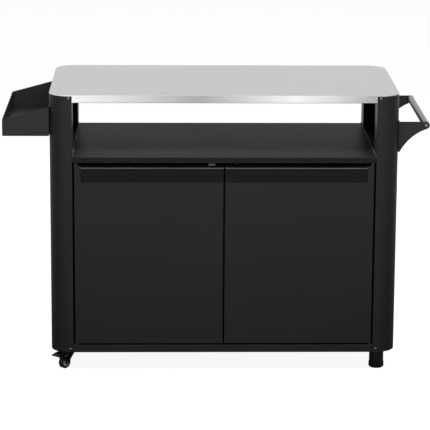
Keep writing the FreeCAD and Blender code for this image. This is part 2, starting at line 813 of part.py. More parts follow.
def make_hinge_washers():
    """The spacers round the pins, in the gaps below and above each door."""
    rings = []
    for name, side in sides:
        for which, low, high in (("lower", base_top, f"{door_bottom} - size.seat_gap"),
                                 ("upper", f"{door_top} + size.seat_gap", lip_bottom)):
            spot = (signed(side, pivot_x), pivot_y, low)
            height = f"({high}) - ({low})"
            disc = rod(f"{name}_{which}_disc", spot, "+Z", "0", height, "size.washer_radius")
            hole = rod(f"{name}_{which}_hole", spot, "+Z", "-size.seat_gap",
                       f"{height} + 2 * size.seat_gap", "size.pivot_radius + size.screw_clearance")
            rings.append(holed(f"{name}_{which}_washer", disc, hole))
    group("hinge_washers", rings)


def catch_front(side):
    """The right catch sits one catch depth further in than the left one."""
    return f"({front} + size.catch_setback)" if side < 0 else (
        f"({front} + size.catch_setback + size.catch_depth)")


def make_catch(name, side):
    body = new_body(f"{name}_catch")
    middle = signed(side, "size.catch_offset")
    ahead = catch_front(side)
    pad_box(body, "XY_Plane", f"{lip_bottom} - size.catch_height",
            box_corners(f"{middle} - size.catch_width / 2", f"{middle} + size.catch_width / 2",
                        ahead, f"{ahead} + size.catch_depth"),
            "size.catch_height")
    round_edges(body, flat_at(f"{lip_bottom} - size.catch_height"), "size.catch_edge")


def make_strike(name, side):
    """An angle on the door's back panel whose short leg lies under the catch."""
    body = new_body(f"{name}_strike")
    high = f"({lip_bottom} - size.catch_height - size.catch_gap)"
    under = f"({high} - size.strike_sheet)"
    low = f"({door_top} - size.strike_leg)"
    face = door_back
    back = f"({door_back} + size.strike_sheet)"
    tip = f"({catch_front(side)} + size.catch_gap)" if side < 0 else (
        f"({catch_front(side)} + size.catch_depth - size.catch_gap)")
    if side < 0:
        corners = [(face, low), (back, low), (back, high), (tip, high), (tip, under), (face, under)]
    else:
        corners = [(face, low), (back, low), (back, under), (tip, under), (tip, high), (face, high)]
    width = "(size.catch_width - 2 * size.catch_gap)"
    middle = signed(side, "size.catch_offset")
    pad_box(body, "YZ_Plane", middle, corners, width, both_ways=True)


# Tray on the left

def tray_screw_places():
    return [(signed(end, f"{tray_half} - size.tray_screw_inset"), z) for _, end in ends
            for z in (f"{tray_low} + size.tray_screw_rise", f"{tray_inner_top} - size.tray_screw_rise")]


def make_tray():
    """An open box whose end plates slope down to the outer wall."""
    body = new_body("tray")
    near = f"-({half_width} + size.seat_gap)"
    far = f"-({half_width} + size.tray_reach)"
    thick = "size.tray_sheet"
    pad_box(body, "XZ_Plane", "0",
            [(near, tray_low, "size.bend_radius"), (near, tray_inner_top),
             (far, tray_outer_top), (far, tray_low, "size.bend_radius")],
            f"2 * {tray_half}", both_ways=True)
    sketch = new_sketch(body, "XZ_Plane")
    outline(sketch, box_corners(f"{far} + {thick}", f"{near} - {thick}",
                                f"{tray_low} + {thick}", "size.top_height"))
    cut(body, sketch, f"2 * ({tray_half} - {thick})", both_ways=True)
    drill(body, "YZ_Plane", f"{near} - 2 * {thick}", tray_screw_places(), screw_hole,
          f"3 * {thick}", backwards=True)


def make_tray_screws():
    spot_x = f"-({half_width} + size.seat_gap + size.tray_sheet)"
    group("tray_screws", [small_screw(f"tray_screw_{number}", (spot_x, y, z), "+X")
                          for number, (y, z) in enumerate(tray_screw_places(), start=1)])


# Handle on the right

def bracket_screw_places():
    rise = (f"{bracket_root} + size.bracket_screw_rise",
            f"{handle_height} - size.bracket_screw_rise / 2")
    return [(signed(end, f"{bracket_y} - size.bracket_flange / 2 - size.bracket_sheet / 2"), z)
            for _, end in ends for z in rise]


def bracket_arc_middle():
    """The middle of the hollow arc under a bracket: it meets the root and the rounded end smoothly."""
    end = FreeCAD.Vector(measure(f"{half_width} + size.handle_offset"), measure(handle_height), 0)
    root = FreeCAD.Vector(measure(f"{half_width} + size.seat_gap + size.bracket_sheet"),
                          measure(bracket_root), 0)
    radius = measure("size.bracket_arc")
    reach = radius + measure("size.handle_end_radius")
    across = root - end
    along = (reach**2 - radius**2 + across.Length**2) / (2 * across.Length)
    aside = math.sqrt(reach**2 - along**2)
    unit = FreeCAD.Vector(across).normalize()
    normal = FreeCAD.Vector(-unit.y, unit.x, 0)
    return end + unit * along + normal * aside, end, root


def draw_bracket(sketch):
    """Root, straight top, rounded end and hollow underside, with the last two tangent."""
    middle, end, root = bracket_arc_middle()
    end_radius = measure("size.handle_end_radius")
    touch = end + (middle - end).normalize() * end_radius
    top = FreeCAD.Vector(end.x, end.y + end_radius, 0)
    corner = FreeCAD.Vector(root.x, top.y, 0)
    nose, nose_first, nose_last = arc_between(top, touch, end, end_radius)
    hollow, hollow_first, hollow_last = arc_between(touch, root, middle, measure("size.bracket_arc"))
    curves = [sketch.addGeometry(shape) for shape in (
        Part.LineSegment(root, corner), Part.LineSegment(corner, top), nose, hollow)]
    add = sketch.addConstraint
    add(Sketcher.Constraint("Coincident", curves[0], 2, curves[1], 1))
    add(Sketcher.Constraint("Coincident", curves[1], 2, curves[2], nose_first))
    add(Sketcher.Constraint("Coincident", curves[3], hollow_last, curves[0], 1))
    add(Sketcher.Constraint("Tangent", curves[2], nose_last, curves[3], hollow_first))
    x_root = f"{half_width} + size.seat_gap + size.bracket_sheet"
    x_end = f"{half_width} + size.handle_offset"
    z_top = f"{handle_height} + size.handle_end_radius"
    pin_point(sketch, curves[0], 1, x_root, bracket_root)
    pin_point(sketch, curves[1], 1, x_root, z_top)
    pin_point(sketch, curves[1], 2, x_end, z_top)
    pin_point(sketch, curves[2], 3, x_end, handle_height)
    index = add(Sketcher.Constraint("Radius", curves[3], measure("size.bracket_arc")))
    sketch.setExpression(f"Constraints[{index}]", "size.bracket_arc")


def make_bracket(name, end):
    """A bent plate: the arm carries the bar, and the flange lies on the cheek, towards the middle."""
    body = new_body(f"{name}_handle_bracket")
    sketch = new_sketch(body, "XZ_Plane", signed(-end, bracket_y))
    draw_bracket(sketch)
    pad(body, sketch, "size.bracket_sheet", backwards=end < 0)
    near = f"{half_width} + size.seat_gap"
    pad_box(body, "XY_Plane", bracket_root,
            box_corners(near, f"{near} + size.bracket_sheet", signed(end, bracket_y),
                        signed(end, f"{bracket_y} - size.bracket_flange")),
            "size.bracket_depth + size.handle_end_radius")
    drill(body, "XZ_Plane", "0", [(f"{half_width} + size.handle_offset", handle_height)],
          "size.handle_bore", "size.body_depth", both_ways=True)
    places = [place_pair for place_pair in bracket_screw_places() if measure(place_pair[0]) * end > 0]
    drill(body, "YZ_Plane", f"{near} + 2 * size.bracket_sheet", places, screw_hole,
          "3 * size.bracket_sheet")


def make_handle_bar():
    """A tube with solid ends, bored for the screws that hold it between the brackets."""
    body = new_body("handle_bar", f"{half_width} + size.handle_offset", "0", handle_height)
    length = f"(2 * ({bracket_y} - size.bracket_sheet - size.seat_gap))"
    for radius, reach, make in (
        ("size.handle_radius", length, pad),
        ("size.handle_radius - size.handle_wall", f"{length} - 2 * size.handle_plug", cut),
        ("size.handle_bore", length, cut),
    ):
        sketch = new_sketch(body, "XZ_Plane")
        circle(sketch, "0", "0", radius)
        make(body, sketch, reach, both_ways=True)


def make_handle_screws():
    x = f"{half_width} + size.handle_offset"
    group("handle_end_screws", [
        headed(f"{name}_end_screw", (x, signed(end, bracket_y), handle_height),
               "+Y" if end < 0 else "-Y", "size.end_screw_radius", "size.end_screw_head",
               "size.handle_bore - size.screw_clearance / 2", "size.end_screw_reach")
        for name, end in ends])
    face = f"{half_width} + size.seat_gap + size.bracket_sheet"
    group("bracket_screws", [
        headed(f"bracket_screw_{number}", (face, y, z), "-X", "size.screw_head_radius",
               "size.screw_head_height", "size.screw_radius", "size.screw_reach + size.bracket_sheet")
        for number, (y, z) in enumerate(bracket_screw_places(), start=1)])


# Screws of the cabinet

def make_pillar_screws():
    screws = []
    for side_name, side in sides:
        for end_name, end in ends:
            for number, z in enumerate(screw_heights(), start=1):
                spot = (signed(side, screw_x), signed(end, half_depth), z)
                screws.append(small_screw(f"{side_name}_{end_name}_pillar_{number}", spot,
                                          "+Y" if end < 0 else "-Y"))
    group("pillar_screws", screws)


def make_cabinet_screws():
    inner = {"shelf": "size.tray_sheet", "base": "size.tray_sheet", "back": "size.back_sheet"}
    screws = []
    for side_name, side in sides:
        for panel, places in side_screw_places().items():
            for number, (y, z) in enumerate(places, start=1):
                x = signed(side, f"{opening} - size.seat_gap - {inner[panel]}")
                screws.append(small_screw(f"{side_name}_{panel}_{number}", (x, y, z),
                                          "+X" if side > 0 else "-X"))
    group("cabinet_screws", screws)


def make_leg_nuts():
    """Hexagon nuts on the floor plates, over the casters' stems and the feet's studs."""
    nuts = []
    for side_name, side in sides:
        for end_name, end in ends:
            spot = (signed(side, leg_x), signed(end, leg_y), "size.foot_height + size.floor_plate")
            hexagon = doc.addObject("Part::Prism", f"{side_name}_{end_name}_hexagon")
            hexagon.Polygon = 6
            place(hexagon, *spot)
            bind(hexagon, Circumradius="size.nut_radius", Height="size.nut_height")
            bore = rod(f"{side_name}_{end_name}_nut_bore", spot, "+Z", "-size.seat_gap",
                       "size.nut_height + 2 * size.seat_gap", "size.stem_radius + size.axle_clearance")
            nuts.append(holed(f"{side_name}_{end_name}_nut", hexagon, bore))
    group("leg_nuts", nuts)


# Casters under the left cheek, each drawn about its own swivel axis with the wheel towards +X

crown_top = "(size.foot_height - size.race_height - size.race_gap)"
crown_low = f"({crown_top} - size.crown_height)"
stem_top = "(size.foot_height + size.floor_plate + size.stem_reach)"


def caster_body(label, end):
    body = new_body(label, signed(-1, leg_x), signed(end, leg_y))
    body.Placement.Rotation = FreeCAD.Rotation(FreeCAD.Vector(0, 0, 1), measure("size.swivel_angle"))
    body.setExpression(".Placement.Rotation.Angle", "size.swivel_angle")
    return body


def make_caster_stem(name, end):
    """The fixed part: threaded stem, bearing race and the kingpin with its head below the crown."""
    body = caster_body(f"{name}_caster_stem", end)
    head_top = f"({crown_low} - size.race_gap)"
    turned(body, steps(
        (f"{head_top} - size.kingpin_head_height", head_top, "size.kingpin_head_radius"),
        (head_top, f"{crown_top} + size.race_gap", "size.kingpin_radius"),
        (f"{crown_top} + size.race_gap", "size.foot_height", "size.race_radius"),
        ("size.foot_height", stem_top, "size.stem_radius"),
    ))


def leg_outline(sketch):
    """A fork leg from the side: wide at the crown, rounded about the axle."""
    boss_x, boss_z = "0.8 * size.fork_boss", "0.6 * size.fork_boss"
    draw(sketch, [
        ("size.fork_front", crown_top),
        ("-size.fork_back", crown_top),
        ("-size.fork_back", f"{crown_low} - size.crown_height"),
        (f"size.wheel_trail - {boss_x}", f"size.wheel_radius - {boss_z}"),
        (f"size.wheel_trail + {boss_x}", f"size.wheel_radius - {boss_z}", "size.fork_boss",
         ("size.wheel_trail", "size.wheel_radius")),
        ("size.fork_front", f"{pin_z} - 2 * size.pedal_pin_radius"),
    ])


def make_fork(name, end):
    """The swivelling crown with its two legs and the hood over the pedal's root."""
    body = caster_body(f"{name}_caster_fork", end)
    sketch = new_sketch(body, "XY_Plane", crown_low)
    circle(sketch, "0", "0", "size.crown_radius")
    pad(body, sketch, "size.crown_height")
    for _, way in ends:
        leg = new_sketch(body, "XZ_Plane", signed(way, plates_half))
        leg_outline(leg)
        pad(body, leg, "size.fork_sheet", backwards=way < 0)
    half = f"({plates_half} + size.fork_sheet)"
    pad_box(body, "XY_Plane", f"{crown_top} - size.fork_sheet",
            box_corners("0", "size.fork_front", f"-{half}", half), "size.fork_sheet")
    drill(body, "XY_Plane", crown_top, [("0", "0")], "size.kingpin_radius + size.axle_clearance",
          "size.crown_height")
    drill(body, "XZ_Plane", "0", [("size.wheel_trail", "size.wheel_radius")],
          "size.axle_radius + size.axle_clearance", "4 * size.crown_radius", both_ways=True)
    drill(body, "XZ_Plane", "0", [(pin_x, pin_z)],
          "size.pedal_pin_radius + size.axle_clearance", "4 * size.crown_radius", both_ways=True)


def make_cross_pin(label, end, x, z, radius):
    """A riveted pin across the fork, with a flat head on each leg."""
    body = caster_body(label, end)
    sketch = new_sketch(body, "XZ_Plane")
    circle(sketch, x, z, radius)
    pad(body, sketch, f"2 * ({plates_half} + size.fork_sheet)", both_ways=True)
    for _, way in ends:
        head = new_sketch(body, "XZ_Plane", signed(way, f"{plates_half} + size.fork_sheet"))
        circle(head, x, z, f"{radius} + size.axle_head_radius - size.axle_radius")
        pad(body, head, "size.axle_head_height", backwards=way < 0)


def wheel_ring(body, outer, inner, width):
    sketch = new_sketch(body, "XZ_Plane")
    circle(sketch, "size.wheel_trail", "size.wheel_radius", outer)
    circle(sketch, "size.wheel_trail", "size.wheel_radius", inner)
    pad(body, sketch, width, both_ways=True)


def make_wheel(name, end):
    core = caster_body(f"{name}_wheel", end)
    wheel_ring(core, "size.wheel_radius - size.tyre_depth", "size.axle_radius + size.axle_clearance",
               "size.wheel_width - 2 * size.hub_side_step")
    tyre = caster_body(f"{name}_tyre", end)
    wheel_ring(tyre, "size.wheel_radius", "size.wheel_radius - size.tyre_depth + size.axle_clearance",
               "size.wheel_width")
    reach = measure("size.wheel_radius")
    round_edges(tyre, lambda edge: abs(edge.Curve.Radius - reach) < 1e-4
                if isinstance(edge.Curve, Part.Circle) else False, "size.tyre_edge")
    caps = []
    for cap_name, way in ends:
        cap = doc.addObject("PartDesign::Body", f"{name}_{cap_name}_hub_cap")
        sketch = new_sketch(cap, "XZ_Plane", signed(way, "size.wheel_width / 2 - size.hub_side_step"))
        for radius in ("size.hub_cap_radius", "size.hub_cap_bore"):
            circle(sketch, "size.wheel_trail", "size.wheel_radius", radius)
        pad(cap, sketch, "size.hub_cap_height", backwards=way < 0)
        caps.append(cap)
    rings = group(f"{name}_hub_caps", caps)
    place(rings, signed(-1, leg_x), signed(end, leg_y))
    rings.Placement.Rotation = FreeCAD.Rotation(FreeCAD.Vector(0, 0, 1), measure("size.swivel_angle"))
    rings.setExpression(".Placement.Rotation.Angle", "size.swivel_angle")


def make_pedal(name, end):
    """The brake pedal: a narrow root on its pin between the legs, and a wide tread outside them."""
    body = caster_body(f"{name}_brake_pedal", end)
    start = "(size.fork_front + size.pedal_gap)"
    root = new_sketch(body, "XZ_Plane")
    low = f"({pin_z} - size.pedal_root_radius)"
    high = f"({pin_z} + size.pedal_root_radius)"
    tread_top = f"({pin_z} + size.pedal_rise)"
    outline(root, [
        (f"{pin_x} - size.pedal_root_radius", low, "size.pedal_root_radius / 2"),
        (f"{start} + size.pedal_gap", low),
        (f"{start} + size.pedal_gap", high),
        (f"{pin_x} - size.pedal_root_radius", high, "size.pedal_root_radius / 2"),
    ])
    pad(body, root, "size.pedal_root_width", both_ways=True)
    tread = new_sketch(body, "XZ_Plane")
    draw(tread, [
        (start, low),
        ("size.pedal_reach", f"size.pedal_tip_height - size.pedal_tip_half"),
        ("size.pedal_reach", f"size.pedal_tip_height + size.pedal_tip_half"),
        ("size.pedal_reach - size.pedal_slope", "size.pedal_tip_height + 3 * size.pedal_tip_half"),
        (start, tread_top),
    ])
    pad(body, tread, "size.pedal_width", both_ways=True)
    drill(body, "XZ_Plane", "0", [(pin_x, pin_z)], "size.pedal_pin_radius + size.axle_clearance",
          "2 * size.pedal_root_width", both_ways=True)


def make_caster(name, end):
    make_caster_stem(name, end)
    make_fork(name, end)
    make_cross_pin(f"{name}_axle", end, "size.wheel_trail", "size.wheel_radius", "size.axle_radius")
    make_cross_pin(f"{name}_pedal_pin", end, pin_x, pin_z, "size.pedal_pin_radius")
    make_wheel(name, end)
    make_pedal(name, end)


# Levelling feet under the right cheek

def make_foot(name, end):
    """A fixed post with a threaded bore, and the foot whose stud screws up into it."""
    spot = (leg_x, signed(end, leg_y))
    bore_top = "(size.foot_cap_height + size.foot_gap + size.foot_stud_reach)"
    post = new_body(f"{name}_foot_post", *spot)
    turned(post, steps(
        ("size.foot_cap_height + size.foot_gap", "size.foot_height", "size.foot_post_radius"),
        ("size.foot_height", stem_top, "size.stem_radius"),
    ))
    drill(post, "XY_Plane", bore_top, [("0", "0")], "size.foot_stud_radius + size.axle_clearance",
          "size.foot_height")
    foot = new_body(f"{name}_foot", *spot)
    groove_top = "(size.foot_pad_height + size.foot_groove)"
    turned(foot, [
        ("size.foot_cap_radius - size.foot_chamfer", "0"),
        ("size.foot_cap_radius", "size.foot_chamfer"),
        *steps(
            ("size.foot_pad_height", "size.foot_pad_height", "size.foot_cap_radius"),
            ("size.foot_pad_height", groove_top, "size.foot_cap_radius - size.foot_groove_depth"),
            (groove_top, "size.foot_cap_height", "size.foot_cap_radius"),
            ("size.foot_cap_height", "size.foot_cap_height + size.foot_stud_reach",
             "size.foot_stud_radius"),
        )[1:],
    ])


def build():
    fill_sheet()
    make_worktop()
    for name, end in ends:
        make_stiffener(name, end)
    for name, side in sides:
        make_cheek(name, side)
        make_cheek_plate(name, side, top=False)
        make_cheek_plate(name, side, top=True)
        make_liner(name, side)
    make_shelf()
    make_base()
    make_back_panel()
    for name, side in sides:
        make_door_skin(name, side)
        make_door_inner(name, side)
        make_pull(name, side)
        make_finger_pocket(name, side)
        make_bushes(name, side)
        make_catch(name, side)
        make_strike(name, side)
    make_hinge_pins()
    make_hinge_washers()
    make_tray()
    make_tray_screws()
    for name, end in ends:
        make_bracket(name, end)
    make_handle_bar()
    make_handle_screws()
    make_pillar_screws()
    make_cabinet_screws()
    make_leg_nuts()
    for name, end in ends:
        make_caster(name, end)
        make_foot(name, end)
    doc.recompute()


def check():
    """Stops before anything is written if a feature failed or a piece isn't a sound solid."""
    for part in doc.Objects:
        if {"Invalid", "Error"} & set(part.State):
            raise ValueError(f"{part.Label} failed: {part.State}")
    for node in nodes:
        shape = node.Shape
        if shape.isNull() or not shape.isValid() or not shape.Solids:
            raise ValueError(f"{node.Label} isn't a sound solid")


def write():
    os.makedirs("parts", exist_ok=True)
    for node in nodes:
        node.Shape.exportStep(f"parts/{node.Label}.step")


build()
check()
write()
print(len(nodes), "pieces written")
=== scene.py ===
import json
import math

import bmesh
import bpy
from mathutils import Matrix, Vector


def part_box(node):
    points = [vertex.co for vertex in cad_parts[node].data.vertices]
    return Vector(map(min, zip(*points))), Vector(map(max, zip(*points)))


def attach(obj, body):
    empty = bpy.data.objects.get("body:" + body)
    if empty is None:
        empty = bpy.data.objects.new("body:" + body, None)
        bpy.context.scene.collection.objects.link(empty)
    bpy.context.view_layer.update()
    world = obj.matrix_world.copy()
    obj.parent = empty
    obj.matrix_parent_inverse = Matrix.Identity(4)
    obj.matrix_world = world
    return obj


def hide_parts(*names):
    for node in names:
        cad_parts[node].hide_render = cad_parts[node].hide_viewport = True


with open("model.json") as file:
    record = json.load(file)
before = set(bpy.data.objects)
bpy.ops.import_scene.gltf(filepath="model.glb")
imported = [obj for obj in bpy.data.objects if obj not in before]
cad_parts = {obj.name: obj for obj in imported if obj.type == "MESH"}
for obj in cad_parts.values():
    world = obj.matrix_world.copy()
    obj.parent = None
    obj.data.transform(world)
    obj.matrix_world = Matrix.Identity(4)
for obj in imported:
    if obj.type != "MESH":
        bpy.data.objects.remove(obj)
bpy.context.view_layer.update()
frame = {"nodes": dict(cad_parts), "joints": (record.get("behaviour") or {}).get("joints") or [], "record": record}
nodes = frame["nodes"]
print("frame loaded:", len(nodes), "nodes")


def addObject(name, data):
    made = bpy.data.objects.new(name, data)
    bpy.context.scene.collection.objects.link(made)
    return made


# shader nodes as plain sums

class Wire:
    def __init__(self, look, socket):
        self.look = look
        self.socket = socket

    def maths(self, operation, first, second):
        return self.look.node("ShaderNodeMath", {"operation": operation}, {0: first, 1: second})

    def __add__(self, other):
        return self.maths("ADD", self, other)

    def __sub__(self, other):
        return self.maths("SUBTRACT", self, other)

    def __mul__(self, other):
        return self.maths("MULTIPLY", self, other)

    def __radd__(self, other):
        return self.maths("ADD", other, self)

    def __rsub__(self, other):
        return self.maths("SUBTRACT", other, self)

    def __rmul__(self, other):
        return self.maths("MULTIPLY", other, self)


def setStops(elements, stops):
    while len(elements) < len(stops):
        elements.new(1)
    for element, (position, grey) in zip(elements, stops):
        element.position = position
        element.color = (grey, grey, grey, 1)


class Look:
    def __init__(self, tree):
        self.tree = tree
        tree.nodes.clear()

    def node(self, kind, settings, inputs, output=0):
        made = self.tree.nodes.new(kind)
        for name, value in settings.items():
            if name == "stops":
                setStops(made.color_ramp.elements, value)
            else:
                setattr(made, name, value)
        for name, value in inputs.items():
            if isinstance(value, Wire):
                self.tree.links.new(value.socket, made.inputs[name])
            else:
                made.inputs[name].default_value = value
        return Wire(self, made.outputs[output]) if len(made.outputs) else None

    def place(self, scale=(1, 1, 1)):
        where = self.node("ShaderNodeTexCoord", {}, {}, "Object")
        return self.node("ShaderNodeMapping", {}, {"Vector": where, "Scale": scale})

    def along(self, axis, vector):
        return self.node("ShaderNodeSeparateXYZ", {}, {0: vector}, axis)

    def noise(self, scale, detail, roughness=0.5):
        scale = scale if isinstance(scale, list) else [scale] * 3
        return self.node("ShaderNodeTexNoise", {}, {
            "Vector": self.place(scale), "Scale": 1, "Detail": detail, "Roughness": roughness})

    def ramp(self, factor, stops):
        return self.node("ShaderNodeValToRGB", {"stops": stops}, {0: factor})

    def rise(self, value, start, end):
        return self.node("ShaderNodeMapRange", {}, {0: value, 1: start, 2: end})

    def blend(self, factor, first, second, kind="MIX"):
        first, second = [c if isinstance(c, Wire) else (*c, 1) for c in (first, second)]
        return self.node("ShaderNodeMix", {"data_type": "RGBA", "blend_type": kind},
                         {0: factor, 6: first, 7: second}, 2)

    def bump(self, height, distance, strength):
        return self.node("ShaderNodeBump", {}, {
            "Height": height, "Distance": distance, "Strength": strength})

    def surface(self, inputs):
        shader = self.node("ShaderNodeBsdfPrincipled", {}, inputs)
        self.node("ShaderNodeOutputMaterial", {}, {0: shader})


def newMaterial(name):
    material = bpy.data.materials.new(name)
    material.use_nodes = True
    return material, Look(material.node_tree)


# camera and studio

camera = {
    "place": (-0.161, -6.816, 2.142),  # metres, before the doors and above the worktop
    "tiltDown": 12.55,  # degrees
    "turnRight": 1.36,
    "roll": 0.34,
    "lens": 179.3,
    "sensor": 36,  # millimetres across
    "shiftUp": -0.12,
    "farthest": 100,  # metres that it sees
}


def makeCamera():
    data = bpy.data.cameras.new("camera")
    data.lens = camera["lens"]
    data.sensor_width = camera["sensor"]
    data.shift_y = camera["shiftUp"]
    data.clip_end = camera["farthest"]
    aim = (Matrix.Rotation(math.radians(-camera["turnRight"]), 4, "Z")
           @ Matrix.Rotation(math.radians(90 - camera["tiltDown"]), 4, "X")
           @ Matrix.Rotation(math.radians(camera["roll"]), 4, "Z"))
    eye = addObject("camera", data)
    eye.matrix_world = Matrix.Translation(camera["place"]) @ aim
    bpy.context.scene.camera = eye


lamps = {  # name: place, point it faces, width, height, watts
    "overhead": ((0.0, -1.35, 2.5), (0.0, -0.2, 0.6), 3.2, 0.7, 155),
    "leftSide": ((-3.0, 0.5, 1.5), (0.0, 0.0, 0.5), 1.0, 2.4, 22),
    "rightSide": ((3.0, 0.3, 1.5), (0.0, 0.0, 0.5), 1.0, 2.4, 26),
    "rear": ((0.3, 3.2, 0.85), (0.0, 0.0, 0.45), 2.6, 0.8, 45),
}


def makeLamps():
    for name, (place, target, width, height, watts) in lamps.items():
        data = bpy.data.lights.new(name, "AREA")
        data.shape = "RECTANGLE"
        data.size = width
        data.size_y = height
        data.energy = watts
        lamp = addObject(name, data)
        lamp.location = place
        lamp.visible_glossy = False  # gloss shows the backdrop and the floor instead
        lamp.rotation_euler = (Vector(target) - Vector(place)).to_track_quat("-Z", "Y").to_euler()


studio = {
    # soft light from the front, the front corners, the sides, the rear corners and the back
    "round": ((0.0, 0.36), (0.2, 0.28), (0.5, 0.2), (0.72, 0.3), (1.0, 0.4)),
    "backdropShine": 0.8,  # how bright gloss shows the backdrop
    # how bright gloss shows the floor, from the front round to the back, and from near to far
    "floorRound": ((0.0, 1.0), (0.12, 0.8), (0.25, 0.12), (0.5, 0.15), (0.75, 0.5), (1.0, 0.8)),
    "floorFar": ((0.0, 0.22), (0.22, 0.34), (0.45, 0.65), (0.7, 0.86), (1.0, 1.0)),
    "floorShine": 1.25,
    "farthest": 4.0,  # metres from the cart at which that second ramp ends
    "floorColour": 0.8,
    "floorBounce": 0.03,  # the floor's colour for the light that it throws back
    "floorWhite": 0.75,  # share of plain white that the camera sees; the rest shows the shadow
    "whiteLevel": 1.22,
    "floorHalf": 30,  # metres from the middle to the floor's edge
}


def seenBy(look):
    return [look.node("ShaderNodeLightPath", {}, {}, ray)
            for ray in ("Is Camera Ray", "Is Glossy Ray")]


def makeWorld():
    world = bpy.data.worlds.new("studio")
    world.use_nodes = True
    bpy.context.scene.world = world
    look = Look(world.node_tree)
    seen, gloss = seenBy(look)
    depth = look.along("Y", look.node("ShaderNodeTexCoord", {}, {}, "Generated"))
    light = look.ramp(depth * 0.5 + 0.5, studio["round"])
    strength = seen + gloss * studio["backdropShine"] + (1 - seen - gloss) * light
    background = look.node("ShaderNodeBackground", {}, {0: (1, 1, 1, 1), 1: strength})
    look.node("ShaderNodeOutputWorld", {}, {0: background})


def makeFloor():
    material, look = newMaterial("paleFloor")
    seen, gloss = seenBy(look)
    bounce, colour = [(studio[name],) * 3 for name in ("floorBounce", "floorColour")]
    matte = look.node("ShaderNodeBsdfDiffuse", {}, {0: look.blend(seen, bounce, colour)})
    where = look.place()
    depth = look.along("Y", look.node("ShaderNodeVectorMath", {"operation": "NORMALIZE"}, {0: where}))
    away = look.node("ShaderNodeVectorMath", {"operation": "LENGTH"}, {0: where}, "Value")
    shine = (look.ramp(depth * 0.5 + 0.5, studio["floorRound"])
             * look.ramp(away * (1 / studio["farthest"]), studio["floorFar"]))
    white = look.node("ShaderNodeEmission", {}, {
        0: (1, 1, 1, 1), 1: seen * studio["whiteLevel"] + gloss * shine * studio["floorShine"]})
    mixed = look.node("ShaderNodeMixShader", {}, {
        0: seen * studio["floorWhite"] + gloss, 1: matte, 2: white})
    look.node("ShaderNodeOutputMaterial", {}, {0: mixed})
    bm = bmesh.new()
    bmesh.ops.create_grid(bm, x_segments=1, y_segments=1, size=studio["floorHalf"])
    mesh = bpy.data.meshes.new("floor")
    bm.to_mesh(mesh)
    bm.free()
    mesh.materials.append(material)
    addObject("floor", mesh)


# brushed steel

brush = {
    # streaks per metre across and along the brushing, then the noise's detail and roughness
    "lines": (1300, 8, 3, 0.6),
    "bands": (70, 1.2, 2, 0.5),
    "lineRough": 0.16,  # what each adds to the roughness
    "bandRough": 0.06,
    "depth": 0.00002,  # metres
    "strength": 0.5,
}


def streaks(look, kind, along):
    across, lengthwise, detail, roughness = brush[kind]
    scale = [across] * 3
    scale[along] = lengthwise
    return look.noise(scale, detail, roughness)


def brushedSurface(look, lines, bands, colour, metallic, smoothest):
    look.surface({
        "Base Color": colour,
        "Metallic": metallic,
        "Roughness": lines * brush["lineRough"] + bands * brush["bandRough"] + smoothest,
        "Normal": look.bump(lines, brush["depth"], brush["strength"]),
    })


worktop = {
    "dark": (0.60, 0.60, 0.595),
    "light": (0.76, 0.76, 0.755),
    "lineShare": 0.5,  # of the tone
    "bandShare": 0.3,
    "cloudShare": 0.2,
    "clouds": 3,  # per metre
    "smoothest": 0.19,
    "apronSatin": 0.42,  # how much of the apron's sheen is spread out
    # painted reflection: soft sheen bands painted along the apron, from its left end to its right end
    "apronPaintedSheen": ((0.0, 1.0), (0.4, 0.46), (0.44, 0.48), (0.73, 1.0), (0.86, 0.78), (1.0, 0.44)),
    "apronEnds": (-0.45, 0.5),
}


def brushedTop(name):
    material, look = newMaterial(name)
    lines, bands = [streaks(look, kind, 0) for kind in ("lines", "bands")]
    cloud = look.noise(worktop["clouds"], 1)
    tone = look.blend(lines * worktop["lineShare"] + bands * worktop["bandShare"]
                      + cloud * worktop["cloudShare"], worktop["dark"], worktop["light"])
    left, right = worktop["apronEnds"]
    # painted reflection: on faces that look forward or back, the brushed tone is multiplied by the sheen bands
    # painted along the apron
    normal = look.along("Y", look.node("ShaderNodeNewGeometry", {}, {}, "Normal"))
    facing = look.node("ShaderNodeMath", {"operation": "ABSOLUTE"}, {0: normal})
    apron = look.ramp((look.along("X", look.place()) - left) * (1 / (right - left)),
                      worktop["apronPaintedSheen"])
    colour = look.blend(facing, tone, look.blend(1, tone, apron, "MULTIPLY"))
    metallic = 1 - facing * worktop["apronSatin"]
    brushedSurface(look, lines, bands, colour, metallic, worktop["smoothest"])
    return material


handleBar = {
    "dark": (0.25, 0.25, 0.25),
    "light": (0.39, 0.39, 0.385),
    "lineShare": 0.6,  # of the tone
    "bandShare": 0.4,
    "smoothest": 0.28,
}


def brushedBar(name):
    material, look = newMaterial(name)
    lines, bands = [streaks(look, kind, 1) for kind in ("lines", "bands")]
    tone = lines * handleBar["lineShare"] + bands * handleBar["bandShare"]
    colour = look.blend(tone, handleBar["dark"], handleBar["light"])
    brushedSurface(look, lines, bands, colour, 1, handleBar["smoothest"])
    return material


# powder coat

coat = {
    "dark": (0.009, 0.009, 0.0094),
    "light": (0.0135, 0.0135, 0.014),
    "specular": 0.15,
    "clouds": 5,  # per metre, and so are the next two
    "peel": 900,
    "grit": 2970,
    "cloudShare": 0.6,  # of the tone
    "peelShare": 0.4,
    "peelHeight": 0.7,  # of the bumps
    "gritHeight": 0.3,
    "depth": 0.00006,  # metres
    "strength": 0.6,
    "smoothest": 0.37,
    "cloudRough": 0.06,  # what each adds to the roughness
    "gritRough": 0.08,
}


def coatTones(lift):
    return [[channel * lift for channel in coat[shade]] for shade in ("dark", "light")]


